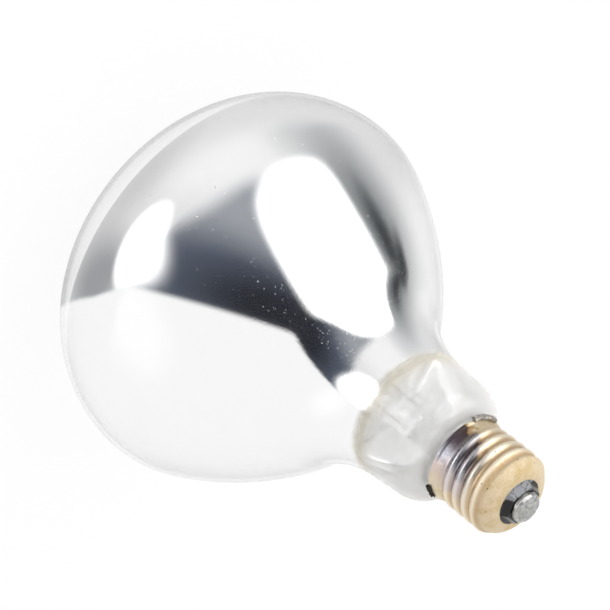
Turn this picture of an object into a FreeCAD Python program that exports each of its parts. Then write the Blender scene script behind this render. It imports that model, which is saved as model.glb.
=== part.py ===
import FreeCAD, Part
import math
import os
from FreeCAD import Vector

# Infrared reflector heat lamp, standing on its face with the screw cap up.
# The origin is the apex of the face, and +Z runs along the lamp's axis to the centre contact.
# Lengths are in millimetres and angles in degrees.

# Blown glass bulb
bulb_diameter = 127.0             # widest diameter: forty eighths of an inch
glass_wall = 1.0
face_dome_radius = 145.0          # gentle dome of the face
face_rim_radius = 37.0            # rounded edge between the face and the widest diameter
shoulder_radius = 26.0            # tight curve just behind the widest diameter
shoulder_turn = 24.0              # slope of the wall where that curve ends
back_radius = 116.0               # flatter curve of the reflector's back
back_turn = 47.5                  # steepest slope of the back, where the hollow waist begins
neck_diameter = 40.3              # neck where the waist runs out
neck_taper = 4.5                  # slope of the neck wall
neck_length = 10.7                # straight run of the neck
neck_shoulder_slope = 75.0        # steepest slope of the shoulder above the neck
throat_fillet = 2.0               # hollow corner between the shoulder and the throat
throat_diameter = 22.6            # throat that goes up into the screw cap
throat_length = 9.0               # from that corner to the seal with the stem

# Mirror film on the inside of the bulb, drawn thicker than the real one
film_clearance = 0.1
film_thickness = 0.15
film_face_edge = 29.0             # height of its edge towards the face
film_neck_edge = 115.6            # height of its edge in the neck

# Screw shell of the cap, 26 mm across the thread
cap_rim_gap = 0.6                 # from the glass shoulder to the rim
cap_sheet = 0.3                   # brass at the thread's root
cap_rim_diameter = 27.1           # outside of the turned lip
cap_lip_height = 0.9
cap_skirt_flare = 0.35            # how much the skirt opens towards the lip
cap_skirt_height = 3.4            # rim to the start of the thread
cap_shell_height = 22.2           # rim to the mouth of the shell
cap_mouth_diameter = 14.4         # opening that the insulator fills
thread_pitch = 3.629              # seven turns to the inch
thread_crest_diameter = 26.3
thread_root_diameter = 24.7
thread_runout = 2.2               # stretch over which the thread fades at each end
thread_crest_height = 17.2        # height above the rim of a crest on the +X side
thread_sections = 8               # level sections drawn in each turn
dome_cones = 3                    # plain cones that line the domed end

# Insulator and centre contact
bond_clearance = 0.05             # between pieces that are cemented, fused or soldered
insulator_facets = 6
insulator_corner_angle = 31.0     # place of one corner of the faceted boss
insulator_land_diameter = 11.8    # top of the boss across its corners
insulator_rise = 1.9              # top of the boss above the mouth of the shell
contact_lead_bore = 1.6
contact_plate_diameter = 8.6
contact_plate_thickness = 0.4
contact_button_diameter = 9.5
contact_button_height = 2.2
contact_button_bevel = 0.7
contact_flat_diameter = 5.0       # flat that the socket's spring has pressed
contact_button_crown = 0.25       # fall from that flat to the bevelled edge

# Basing cement, and what stands proud of the rim
cement_foot = 0.3                 # cement above the rim
cement_height = 2.6
rim_solder_angle = 203.0          # middle of the solder round the rim
rim_solder_span = 42.0
rim_solder_radius = 1.2
cement_bead_angle = 343.0         # middle of the scorched bead of cement
cement_bead_span = 22.0
cement_bead_radius = 0.95
lump_sides = 10                   # sides of the section of these lumps

# Glass stem with its press and exhaust tube
stem_wall = 0.9
stem_tube_diameter = 11.0
stem_flare_length = 8.0
press_width = 13.0
press_thickness = 5.0
press_height = 12.0
press_edge_round = 1.6
press_drop = 31.0                 # bottom of the press below the cap rim
exhaust_tube_diameter = 4.0
exhaust_tube_wall = 0.6
exhaust_tube_length = 24.0
exhaust_tip_length = 3.0

# Lead wires, coil and its supports
lead_spacing = 7.2                # between the two leads in the press
inner_lead_diameter = 0.9
outer_lead_diameter = 0.4
lead_crossing = 1.6               # side lead above the sealed end of the neck
contact_lead_bend = 12.0          # bend of the contact lead above the rim
contact_lead_slant = 5.0
inner_lead_knee = 24.0            # knee of the inner leads above the coil
inner_lead_foot = 5.0             # straight end of the inner leads
coil_height = 62.0                # plane of the coil above the face apex
coil_ring_radius = 11.5
coil_diameter = 1.5               # outside of the coiled wire
coil_gap = 50.0                   # open stretch of the ring between the two leads
coil_gap_angle = 90.0             # middle of that stretch
coil_tail = 1.2                   # coil beyond each lead
coil_hooks = 4
wire_sides = 8                    # the wires are too thin to need a rounder section
arbor_diameter = 3.0
arbor_button_diameter = 5.4
arbor_button_height = 5.0
arbor_button_chamfer = 1.2
arbor_rise = 10.0                 # middle of the button above the coil
hook_diameter = 0.5
hook_reach = 0.5                  # crook beyond the middle of the coil

AXIS = Vector(0, 0, 1)
ORIGIN = Vector(0, 0, 0)


def cosine(angle):
    return math.cos(math.radians(angle))


def sine(angle):
    return math.sin(math.radians(angle))


def normal(angle):
    """Unit vector in the section plane, at an angle above the horizontal."""
    return Vector(cosine(angle), 0, sine(angle))


def around(radius, angle, height):
    """Point at a radius and an angle about the lamp's axis."""
    return Vector(radius * cosine(angle), radius * sine(angle), height)


def line(start, end):
    return Part.LineSegment(start, end).toShape()


def arc(start, middle, end):
    return Part.Arc(start, middle, end).toBSpline().toShape()


def revolve(edges):
    """Solid of revolution about the lamp's axis from a closed section."""
    return Part.Face(Part.Wire(edges)).revolve(ORIGIN, AXIS, 360)


def turned(corners):
    """Solid of revolution from the corners of its section, given as (radius, height)."""
    points = [Vector(radius, 0, height) for radius, height in corners]
    return revolve([line(a, b) for a, b in zip(points, points[1:] + points[:1])])


def wire(points, diameter):
    """Wire along straight runs, with mitred bends."""
    path = Part.Wire([line(a, b) for a, b in zip(points, points[1:])])
    section = Part.Circle(points[0], points[1] - points[0], diameter / 2)
    turns = [2 * math.pi * side / wire_sides for side in range(wire_sides + 1)]
    profile = Part.makePolygon([section.value(turn) for turn in turns])
    return path.makePipeShell([profile], True, False, 1)


def hole(point, diameter, length):
    """Upright cutter from a point."""
    return Part.makeCylinder(diameter / 2, length, point)


def write(shape, name):
    """Write one piece as one solid to its own file."""
    if len(shape.Solids) != 1 or not shape.isValid():
        raise ValueError(name + " is not one valid solid")
    shape.Solids[0].exportStep("parts/" + name + ".step")


# Section of the bulb: a chain of runs, each tangent to the one before, from the face apex to the neck end.
# A run ends at a point where the outward normal has an angle. Its radius is negative where it is hollow.

def bulb_section():
    """Runs of the bulb's outer section, as (end point, normal angle, radius or None where straight)."""
    runs = [(ORIGIN, -90.0, None)]

    def bend(radius, angle):
        point, before, _ = runs[-1]
        runs.append((point + (normal(angle) - normal(before)) * radius, angle, radius))

    def bend_to(end_radius, angle):
        point, before, _ = runs[-1]
        bend((point.x - end_radius) / (cosine(before) - cosine(angle)), angle)

    def straight(length):
        point, angle, _ = runs[-1]
        runs.append((point + normal(angle + 90) * length, angle, None))

    rim_offset = bulb_diameter / 2 - face_rim_radius
    bend(face_dome_radius, math.degrees(math.asin(rim_offset / (face_dome_radius - face_rim_radius))) - 90)
    bend(face_rim_radius, 0.0)
    bend(shoulder_radius, shoulder_turn)
    bend(back_radius, back_turn)
    bend_to(neck_diameter / 2, neck_taper)
    straight(neck_length)
    bend_to(THROAT_RADIUS + throat_fillet * (1 - cosine(neck_shoulder_slope)), neck_shoulder_slope)
    bend(-throat_fillet, 0.0)
    straight(throat_length)
    return runs


THROAT_RADIUS = throat_diameter / 2
SECTION = bulb_section()
RIM = SECTION[-2][0].z + cap_rim_gap
NECK_END = SECTION[-1][0].z


def bulb_edges(inset):
    """Edges of the bulb's section, moved inwards from the outer surface."""
    edges = []
    for (start, before, _), (end, after, radius) in zip(SECTION, SECTION[1:]):
        first = start - normal(before) * inset
        last = end - normal(after) * inset
        if radius is None:
            edges.append(line(first, last))
        else:
            centre = start - normal(before) * radius
            middle = centre + normal((before + after) / 2) * (radius - inset)
            edges.append(arc(first, middle, last))
    return edges


def bulb_skin(outer_inset, inner_inset):
    """Wall of the bulb between two insets from its outer surface."""
    end = SECTION[-1][0]
    seal = line(end - normal(0) * outer_inset, end - normal(0) * inner_inset)
    apex = line(Vector(0, 0, inner_inset), Vector(0, 0, outer_inset))
    return revolve(bulb_edges(outer_inset) + [seal] + bulb_edges(inner_inset)[::-1] + [apex])


def glass_envelope():
    return bulb_skin(0, glass_wall)


def reflector_film():
    inset = glass_wall + film_clearance
    band = Part.makeCylinder(bulb_diameter, film_neck_edge - film_face_edge, Vector(0, 0, film_face_edge))
    return bulb_skin(inset, inset + film_thickness).common(band)


# Screw shell: flared skirt with a turned lip, rolled thread and domed end.

THREAD_RADIUS = (thread_crest_diameter + thread_root_diameter) / 4
THREAD_SWING = (thread_crest_diameter - thread_root_diameter) / 4
BORE_RADIUS = thread_root_diameter / 2 - cap_sheet
MOUTH_RADIUS = cap_mouth_diameter / 2
MOUTH = RIM + cap_shell_height
THREAD_FOOT = RIM + cap_skirt_height
THREAD_HEAD = MOUTH - (THREAD_RADIUS - MOUTH_RADIUS)
LIP_RADIUS = THREAD_RADIUS + cap_skirt_flare
LINING_TURN = 90 / dome_cones


def rolled_thread():
    """Round thread: a level circle whose centre climbs a small right-hand helix, fading at both ends."""
    length = THREAD_HEAD - THREAD_FOOT
    steps = math.ceil(length / thread_pitch * thread_sections)
    circles = []
    for step in range(steps + 1):
        height = THREAD_FOOT + length * step / steps
        from_end = min(height - THREAD_FOOT, THREAD_HEAD - height)
        fade = (1 - cosine(180 * min(from_end / thread_runout, 1))) / 2
        turn = 360 * (height - RIM - thread_crest_height) / thread_pitch
        centre = around(THREAD_SWING * fade, turn, height)
        circles.append(Part.Wire(Part.Circle(centre, AXIS, THREAD_RADIUS).toShape()))
    return Part.makeLoft(circles, True, False)


def dome_point(radius, angle):
    """Point on a quarter circle of the shell's domed end, which runs from its foot to the mouth."""
    return Vector(MOUTH_RADIUS, 0, THREAD_HEAD) + normal(angle) * radius


def dome_lining(radius):
    """Corners of the plain cones that line the dome, where the insulator is fused in."""
    return [dome_point(radius, LINING_TURN * cone) for cone in range(dome_cones + 1)]


def screw_shell():
    skirt = turned([
        (cap_rim_diameter / 2, RIM),
        (LIP_RADIUS, RIM + cap_lip_height),
        (THREAD_RADIUS, THREAD_FOOT),
        (BORE_RADIUS, THREAD_FOOT),
        (LIP_RADIUS - cap_sheet, RIM + cap_lip_height),
        (cap_rim_diameter / 2 - cap_sheet, RIM),
    ])
    thread = rolled_thread().cut(hole(Vector(0, 0, THREAD_FOOT), 2 * BORE_RADIUS, THREAD_HEAD - THREAD_FOOT))
    start, middle, end = (dome_point(THREAD_RADIUS - MOUTH_RADIUS, turn) for turn in (0, 45, 90))
    lining = [end] + dome_lining(BORE_RADIUS - MOUTH_RADIUS)[::-1] + [start]
    dome = revolve([arc(start, middle, end)] + [line(a, b) for a, b in zip(lining, lining[1:])])
    return skirt.fuse([thread, dome]).removeSplitter()


# Insulator with a faceted boss, contact plate let into it, and solder button.

LAND = MOUTH + insulator_rise
BOND_STEP = bond_clearance / cosine(LINING_TURN / 2)
PLATE_POCKET = contact_plate_thickness + bond_clearance


def boss_outline(radius, height):
    """Level outline of the boss with its corners at a radius."""
    step = 360 / insulator_facets
    turns = [insulator_corner_angle + step * facet for facet in range(insulator_facets + 1)]
    return Part.makePolygon([around(radius, turn, height) for turn in turns])


def insulator():
    seat = [(point.x, point.z) for point in dome_lining(BORE_RADIUS - MOUTH_RADIUS - BOND_STEP)]
    collar = MOUTH_RADIUS - bond_clearance
    plug = turned([(0, THREAD_HEAD)] + seat + [(collar, seat[-1][1]), (collar, MOUTH), (0, MOUTH)])
    outlines = [boss_outline(collar, MOUTH), boss_outline(insulator_land_diameter / 2, LAND)]
    boss = Part.makeLoft(outlines, True, True)
    pocket_diameter = contact_plate_diameter + 2 * bond_clearance
    pocket = hole(Vector(0, 0, LAND - PLATE_POCKET), pocket_diameter, PLATE_POCKET)
    bore = hole(Vector(0, 0, THREAD_HEAD), contact_lead_bore, LAND - THREAD_HEAD)
    return plug.fuse(boss).cut([pocket, bore]).removeSplitter()


def contact_plate():
    foot = LAND - contact_plate_thickness
    plate = hole(Vector(0, 0, foot), contact_plate_diameter, contact_plate_thickness)
    return plate.cut(hole(Vector(0, 0, foot), contact_lead_bore, contact_plate_thickness))


TIP = LAND + contact_button_height
LEAD_END = LAND + contact_button_height / 2


def contact_solder():
    radius = contact_button_diameter / 2
    shoulder = TIP - contact_button_crown
    button = turned([
        (0, LAND),
        (radius, LAND),
        (radius, shoulder - contact_button_bevel),
        (radius - contact_button_bevel, shoulder),
        (contact_flat_diameter / 2, TIP),
        (0, TIP),
    ])
    lead = wire([Vector(0, 0, LAND), Vector(0, 0, LEAD_END)], outer_lead_diameter + 2 * bond_clearance)
    return button.cut(lead)


# Cement in the skirt, and the solder and the scorched bead of cement on the rim.

def cement_ring():
    foot = cement_foot
    head = cement_foot + cement_height
    inside = THROAT_RADIUS + bond_clearance

    def skirt_inside(rise):
        """Inside radius of the skirt at a height above the rim, less the bond."""
        slope = (rise - cap_lip_height) / (cap_skirt_height - cap_lip_height)
        lip = LIP_RADIUS - cap_sheet
        return lip + (BORE_RADIUS - lip) * slope - bond_clearance

    ring = turned([
        (inside, RIM + foot),
        (skirt_inside(cap_lip_height), RIM + foot),
        (skirt_inside(cap_lip_height), RIM + cap_lip_height),
        (skirt_inside(head), RIM + head),
        (inside, RIM + head),
    ])
    return ring.cut(wire(rim_lead_path(), outer_lead_diameter + 2 * bond_clearance))


def rim_lump(middle, span, radius):
    """Lump run along the outside of the rim, seated on the shell and the glass shoulder."""
    track = cap_rim_diameter / 2
    centre = Vector(track, 0, RIM)
    turns = [360 * side / lump_sides for side in range(lump_sides + 1)]
    section = Part.Face(Part.makePolygon([centre + normal(turn) * radius for turn in turns]))
    section.rotate(ORIGIN, AXIS, middle - span / 2)
    bead = section.revolve(ORIGIN, AXIS, span)
    glass = revolve(bulb_edges(-bond_clearance) + [
        line(SECTION[-1][0] + normal(0) * bond_clearance, Vector(0, 0, NECK_END)),
        line(Vector(0, 0, NECK_END), Vector(0, 0, -bond_clearance)),
    ])
    shell = turned([
        (0, RIM),
        (track + bond_clearance, RIM),
        (LIP_RADIUS + bond_clearance, RIM + cap_lip_height),
        (THREAD_RADIUS + bond_clearance, THREAD_FOOT),
        (0, THREAD_FOOT),
    ])
    throat = hole(Vector(0, 0, RIM - radius), 2 * (track - cap_sheet), radius)
    return bead.cut([glass, shell, throat]).removeSplitter()


# Stem: flared tube sealed to the throat, with a flat press at its lower end.

PRESS_FOOT = RIM - press_drop
PRESS_HEAD = PRESS_FOOT + press_height
PRESS_WELD = PRESS_FOOT + press_height / 2
LEAD_OFFSET = lead_spacing / 2
SIDES = {"left": -1, "right": 1}


def glass_stem():
    tube = stem_tube_diameter / 2
    flare = THROAT_RADIUS - glass_wall - bond_clearance
    flare_foot = NECK_END - stem_flare_length
    body = turned([
        (flare, NECK_END),
        (tube, flare_foot),
        (tube, PRESS_HEAD - stem_wall),
        (0, PRESS_HEAD - stem_wall),
        (0, PRESS_HEAD),
        (tube - stem_wall, PRESS_HEAD),
        (tube - stem_wall, flare_foot),
        (flare - stem_wall, NECK_END),
    ])
    press = Part.makeBox(press_width, press_thickness, press_height)
    press.translate(Vector(-press_width / 2, -press_thickness / 2, PRESS_FOOT))
    upright = [edge for edge in press.Edges if edge.BoundBox.ZLength > press_height / 2]
    press = press.makeFillet(press_edge_round, upright)
    press = press.cut(hole(Vector(0, 0, PRESS_HEAD - stem_wall), stem_tube_diameter, press_height))
    bores = []
    for side in SIDES.values():
        foot = Vector(side * LEAD_OFFSET, 0, PRESS_FOOT)
        weld = Vector(side * LEAD_OFFSET, 0, PRESS_WELD)
        head = Vector(side * LEAD_OFFSET, 0, PRESS_HEAD)
        bores.append(wire([foot, weld], inner_lead_diameter + 2 * bond_clearance))
        bores.append(wire([weld, head], outer_lead_diameter + 2 * bond_clearance))
    return body.fuse(press).cut(bores).removeSplitter()


def exhaust_tube():
    radius = exhaust_tube_diameter / 2
    foot = PRESS_HEAD + bond_clearance
    tip = foot + exhaust_tube_length
    shoulder = tip - exhaust_tip_length
    return turned([
        (radius - exhaust_tube_wall, foot),
        (radius, foot),
        (radius, shoulder),
        (exhaust_tube_wall, tip),
        (0, tip),
        (0, tip - 2 * exhaust_tube_wall),
        (radius - exhaust_tube_wall, shoulder),
    ])


# Leads: the inner pair carries the coil, and the outer pair goes to the rim and to the centre contact.

def rim_lead_path():
    """From the weld in the press over the end of the neck and down to the solder on the rim."""
    gap = (THROAT_RADIUS + BORE_RADIUS) / 2
    crossing = NECK_END + lead_crossing
    return [
        Vector(-LEAD_OFFSET, 0, PRESS_WELD),
        Vector(-LEAD_OFFSET, 0, crossing),
        around(gap, rim_solder_angle, crossing),
        around(gap, rim_solder_angle, RIM),
    ]


def contact_lead_path():
    """From the weld in the press to the axis and up into the solder of the centre contact."""
    bend = RIM + contact_lead_bend
    return [
        Vector(LEAD_OFFSET, 0, PRESS_WELD),
        Vector(LEAD_OFFSET, 0, bend),
        Vector(0, 0, bend + contact_lead_slant),
        Vector(0, 0, LEAD_END),
    ]


def coil_end(side):
    return coil_gap_angle - side * coil_gap / 2


def inner_lead(side):
    foot = around(coil_ring_radius, coil_end(side), coil_height + coil_diameter / 2 + bond_clearance)
    return wire([
        Vector(side * LEAD_OFFSET, 0, PRESS_WELD),
        Vector(side * LEAD_OFFSET, 0, coil_height + inner_lead_knee),
        foot + Vector(0, 0, inner_lead_foot),
        foot,
    ], inner_lead_diameter)


# Coil: straight spans between the supports, round a ring that is open between the two leads.

COIL_SPAN = (360 - coil_gap) / (coil_hooks + 1)
HOOK_ANGLES = [coil_end(-1) + COIL_SPAN * (hook + 1) for hook in range(coil_hooks)]


def filament():
    turns = [coil_end(-1)] + HOOK_ANGLES + [coil_end(-1) + 360 - coil_gap]
    points = [around(coil_ring_radius, turn, coil_height) for turn in turns]
    for end, inner in ((0, 1), (-1, -2)):
        outwards = points[end] - points[inner]
        points[end] = points[end] + outwards.normalize() * coil_tail
    return wire(points, coil_diameter)


ARBOR_BUTTON = coil_height + arbor_rise


def stem_arbor():
    rod = arbor_diameter / 2
    button = arbor_button_diameter / 2
    head = ARBOR_BUTTON + arbor_button_height / 2
    foot = ARBOR_BUTTON - arbor_button_height / 2
    return turned([
        (0, PRESS_FOOT),
        (rod, PRESS_FOOT),
        (rod, head),
        (button, head - arbor_button_chamfer),
        (button, foot + arbor_button_chamfer),
        (rod, foot),
        (0, foot),
    ])


def support_hook(angle):
    """From the arbor's button out to the coil, and round under it."""
    reach = (coil_diameter + hook_diameter) / 2
    drop = coil_height - reach - bond_clearance
    inner_side = coil_ring_radius - reach / cosine(COIL_SPAN / 2) - bond_clearance
    return wire([
        around(arbor_button_diameter / 2, angle, ARBOR_BUTTON),
        around(inner_side, angle, ARBOR_BUTTON),
        around(inner_side, angle, drop),
        around(coil_ring_radius + hook_reach, angle, drop),
    ], hook_diameter)


def main():
    os.makedirs("parts", exist_ok=True)
    write(glass_envelope(), "glass_envelope")
    write(reflector_film(), "reflector_film")
    write(screw_shell(), "screw_shell")
    write(insulator(), "insulator")
    write(contact_plate(), "contact_plate")
    write(contact_solder(), "contact_solder")
    write(cement_ring(), "cement_ring")
    write(rim_lump(rim_solder_angle, rim_solder_span, rim_solder_radius), "rim_solder")
    write(rim_lump(cement_bead_angle, cement_bead_span, cement_bead_radius), "cement_bead")
    write(glass_stem(), "glass_stem")
    write(exhaust_tube(), "exhaust_tube")
    write(wire(rim_lead_path(), outer_lead_diameter), "rim_lead")
    write(wire(contact_lead_path(), outer_lead_diameter), "contact_lead")
    for name, side in SIDES.items():
        write(inner_lead(side), "inner_lead_" + name)
    write(filament(), "filament")
    write(stem_arbor(), "stem_arbor")
    for number, angle in enumerate(HOOK_ANGLES, 1):
        write(support_hook(angle), "support_hook_" + str(number))


main()
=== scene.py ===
"""Infrared reflector heat lamp with a mirrored bulb, a clear neck and a brass screw cap."""
import math

import bmesh
import bpy
from bpy.props import FloatProperty, FloatVectorProperty, IntProperty, PointerProperty
from bpy.types import Operator, Panel, PropertyGroup
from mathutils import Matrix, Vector, noise


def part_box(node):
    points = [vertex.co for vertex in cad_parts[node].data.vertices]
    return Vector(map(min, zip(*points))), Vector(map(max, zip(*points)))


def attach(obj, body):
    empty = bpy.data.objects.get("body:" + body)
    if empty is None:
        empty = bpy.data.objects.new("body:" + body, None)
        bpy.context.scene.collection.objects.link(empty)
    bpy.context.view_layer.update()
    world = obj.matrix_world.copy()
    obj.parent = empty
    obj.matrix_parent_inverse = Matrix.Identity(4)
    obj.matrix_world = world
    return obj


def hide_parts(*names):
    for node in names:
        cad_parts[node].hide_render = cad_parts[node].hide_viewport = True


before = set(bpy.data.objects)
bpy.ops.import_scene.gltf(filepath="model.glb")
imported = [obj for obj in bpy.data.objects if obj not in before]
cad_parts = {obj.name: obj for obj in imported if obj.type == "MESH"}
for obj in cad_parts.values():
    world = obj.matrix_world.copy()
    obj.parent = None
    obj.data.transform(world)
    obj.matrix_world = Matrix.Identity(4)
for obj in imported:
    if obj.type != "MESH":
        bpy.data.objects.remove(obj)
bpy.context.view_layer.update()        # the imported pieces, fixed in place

bl_info = {
    "name": "Infrared Heat Lamp",
    "version": (1, 0, 0),
    "blender": (4, 5, 0),
    "location": "View3D > Sidebar > Heat Lamp",
    "description": "Builds a mirrored infrared heat lamp around its packed pieces",
    "category": "Object",
}

MM = 0.001
AROUND = 192                      # segments round every turned piece
ON_AXIS = 1e-7                    # a radius below this is a point on the axis
MERGE = 0.001 * MM                # packed corners closer than this are one corner
FLAT = 1.0                        # packed faces that bend by fewer degrees are one face
FRAY = 2.0 * MM                   # depth of the film's frayed edge in the neck
CRACK_SIZE = 3.4 * MM             # glass between the cracks of the scuffed facet
COIL_STEPS = 12                   # points in one turn of the coil


# Settings that a user would change

def length(name, description, millimetres):
    """Property for a length."""
    return FloatProperty(name=name, description=description, default=millimetres * MM,
                         unit="LENGTH", precision=5)


def angle(name, description, degrees):
    """Property for an angle."""
    return FloatProperty(name=name, description=description, default=math.radians(degrees),
                         subtype="ANGLE", unit="ROTATION")


def linear(hex_code):
    """Linear colour, with full alpha, from an sRGB hex code."""
    values = [int(hex_code[place:place + 2], 16) / 255 for place in (1, 3, 5)]
    return [v / 12.92 if v <= 0.04045 else ((v + 0.055) / 1.055) ** 2.4 for v in values] + [1.0]


def colour(name, description, hex_code):
    """Property for a colour."""
    return FloatVectorProperty(name=name, description=description, default=linear(hex_code),
                               size=4, min=0.0, max=1.0, subtype="COLOR")


class BulbSizes(PropertyGroup):
    """Blown bulb, as a chain of arcs from the apex of the face to the seal in the cap."""

    diameter: length("Diameter", "Widest diameter of the bulb", 127.0)
    wall: length("Wall", "Thickness of the glass", 1.0)
    face_dome: length("Face dome", "Radius of the domed face", 145.0)
    face_rim: length("Face rim", "Radius between the face and the widest diameter", 37.0)
    shoulder: length("Shoulder", "Radius just behind the widest diameter", 26.0)
    shoulder_turn: angle("Shoulder turn", "Slope where the shoulder ends", 24.0)
    back: length("Back", "Radius of the reflector's back", 116.0)
    back_turn: angle("Back turn", "Steepest slope of the back", 47.5)
    neck: length("Neck", "Diameter of the neck where the waist runs out", 40.3)
    neck_taper: angle("Neck taper", "Slope of the neck wall", 4.5)
    neck_run: length("Neck run", "Straight length of the neck", 10.7)
    neck_slope: angle("Neck slope", "Steepest slope of the shoulder above the neck", 75.0)
    throat_fillet: length("Throat fillet", "Hollow corner below the throat", 2.0)
    throat: length("Throat", "Diameter of the throat inside the cap", 22.6)
    throat_run: length("Throat run", "Length of the throat", 9.0)
    film_gap: length("Film gap", "Space between the glass and the mirror film", 0.1)
    film_thickness: length("Film thickness", "Drawn thickness of the mirror film", 0.15)
    film_face_edge: length("Film edge at the face", "Height of the film's edge near the face", 29.0)
    film_neck_edge: length("Film edge at the neck", "Height of the film's edge in the neck", 115.6)


class CapSizes(PropertyGroup):
    """Screw shell and centre contact."""

    rim_gap: length("Rim gap", "From the throat's corner to the rim of the shell", 0.6)
    sheet: length("Sheet", "Thickness of the brass", 0.3)
    rim: length("Rim", "Diameter of the turned lip", 27.1)
    lip: length("Lip", "Height of the turned lip", 0.9)
    flare: length("Flare", "How much the skirt opens towards the lip", 0.35)
    skirt: length("Skirt", "From the rim to the thread", 3.4)
    height: length("Height", "From the rim to the mouth of the shell", 22.2)
    mouth: length("Mouth", "Diameter of the mouth of the shell", 14.4)
    pitch: length("Pitch", "Rise of the thread in one turn", 3.629)
    crest: length("Crest", "Diameter over the thread", 26.3)
    root: length("Root", "Diameter in the thread's grooves", 24.7)
    runout: length("Run-out", "Stretch over which the thread fades", 2.2)
    crest_height: length("Crest height", "Height above the rim of a crest on the +X side", 17.2)
    thread_top: length("Thread top", "Height above the rim where the thread has faded", 20.8)


class MountSizes(PropertyGroup):
    """Leads, coil and supports inside the bulb."""

    lead_spacing: length("Lead spacing", "Between the two leads in the press", 7.2)
    inner_lead: length("Inner lead", "Diameter of the nickel leads", 0.9)
    outer_lead: length("Outer lead", "Diameter of the copper leads", 0.4)
    press_drop: length("Press drop", "From the rim down to the foot of the press", 31.0)
    press_height: length("Press height", "Height of the press", 12.0)
    crossing: length("Crossing", "Rim lead above the sealed end of the neck", 1.6)
    rim_solder_turn: angle("Rim solder", "Place of the solder round the rim", 203.0)
    contact_bend: length("Contact bend", "Bend of the contact lead above the rim", 12.0)
    contact_slant: length("Contact slant", "Rise of the contact lead to the axis", 5.0)
    knee: length("Knee", "Knee of the inner leads above the coil", 24.0)
    foot: length("Foot", "Straight end of the inner leads", 5.0)
    bend_radius: length("Bend radius", "Radius of the bends of the wires", 1.2)
    coil_height: length("Coil height", "Plane of the coil above the face", 62.0)
    coil_ring: length("Coil ring", "Radius of the ring that the coil follows", 11.5)
    coil: length("Coil", "Outer diameter of the coiled wire", 1.5)
    coil_wire: length("Coil wire", "Diameter of the tungsten wire", 0.22)
    coil_pitch: length("Coil pitch", "Rise of the coil in one turn", 0.42)
    coil_gap: angle("Coil gap", "Open stretch of the ring between the leads", 50.0)
    coil_gap_turn: angle("Coil gap place", "Middle of the open stretch", 90.0)
    coil_hooks: IntProperty(name="Hooks", description="Wires that hold the coil", default=4, min=1)
    coil_tail: length("Coil tail", "Coil beyond each lead", 1.2)
    arbor_rise: length("Arbor rise", "Middle of the arbor's button above the coil", 10.0)
    arbor_button: length("Arbor button", "Diameter of the arbor's button", 5.4)
    hook: length("Hook", "Diameter of the support wires", 0.5)
    hook_reach: length("Hook reach", "Crook beyond the middle of the coil", 0.5)
    bond: length("Bond", "Space between pieces that are fused or clamped", 0.05)


class Finishes(PropertyGroup):
    """Colours of the lamp's materials."""

    mirror: colour("Mirror film", "Bright aluminium", "#f8f8f8")
    film_edge: colour("Film edge", "Thin brown edge of the film", "#e4ddcb")
    haze: colour("Haze", "Milky haze in the neck", "#fbfaf8")
    brass: colour("Brass", "Clean brass of the cap", "#dfd1b7")
    patina: colour("Patina", "Yellowed brass", "#d0bb8b")
    rubbed_and_highlit: colour("Rubbed brass", "Crests of the thread", "#eee2cc")
    # Rubbed brass: wear and a painted highlight on the crests of the thread
    silver_tint_and_highlight: colour("Silver", "Crests of the thread in the heat tint", "#dddadc")
    # Groove: tarnish and painted shade in the grooves of the thread
    groove_tone_and_shade: colour("Groove", "Tarnish in the grooves of the thread", "#c4a987")
    # Silver: heat tint and a painted highlight on the crests in the tint
    straw: colour("Straw", "Brown fringe of the heat tint", "#a9824f")
    lilac: colour("Lilac", "Pale heat tint of the cap", "#cfc0be")
    temper: colour("Temper", "Blue-grey heat tint of the cap", "#87878f")
    plum: colour("Plum", "Purple heat tint of the cap", "#574c52")
    # Scorch: heat tint and pits, and also painted shade in the grooves in the tint
    scorch_and_shade: colour("Scorch", "Dark heat tint of the cap", "#4a3f3a")
    black_glass: colour("Black glass", "Insulator", "#060607")
    # Scuffed glass: scuffing and a painted reflection on one facet
    scuffed_and_reflecting_glass: colour("Scuffed glass", "Worn facet of the insulator", "#7e7f83")
    solder: colour("Solder", "Dull solder", "#bdbdba")
    scorched_solder: colour("Scorched solder", "Solder on the rim", "#b4aea6")
    cement: colour("Cement", "Baked basing cement", "#b9a98a")
    # Burnt cement: scorch and painted shade in the gap under the rim
    charred_and_shaded: colour("Burnt cement", "Scorched bead", "#2c231c")
    nickel: colour("Nickel", "Inner leads and supports", "#d6d2ca")
    copper: colour("Copper", "Outer leads", "#4a3326")
    tungsten: colour("Tungsten", "Coil", "#5a5a5c")
    dust: colour("Dust", "Specks on the glass", "#e8e8e6")


class StageSettings(PropertyGroup):
    """Camera, floor and surroundings."""

    camera_place: FloatVectorProperty(
        name="Camera place", description="Where the camera stands", size=3, subtype="TRANSLATION",
        unit="LENGTH", default=(0.0, -0.53777, 0.47676))
    camera_turn: FloatVectorProperty(
        name="Camera turn", description="How the camera is turned", size=3, subtype="EULER",
        unit="ROTATION", default=[math.radians(turn) for turn in (-38.451, -38.476, 142.596)])
    lens: FloatProperty(name="Lens", description="Focal length on a 36 mm frame", default=133.136,
                        unit="CAMERA")
    floor_size: FloatProperty(name="Floor size", description="Side of the floor", default=8.0,
                              unit="LENGTH")
    floor_tone: colour("Floor", "Pale paper", "#f4f4f4")
    floor_white: FloatProperty(
        name="Floor white", description="Share of plain white in the floor as it is seen",
        default=0.95, min=0.0, max=1.0, subtype="FACTOR")
    softbox: FloatProperty(name="Soft box", description="Brightness of the soft boxes", default=3.2)


# Small tools

def sizes():
    """Settings of the lamp in this scene."""
    return bpy.context.scene.heat_lamp


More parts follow.
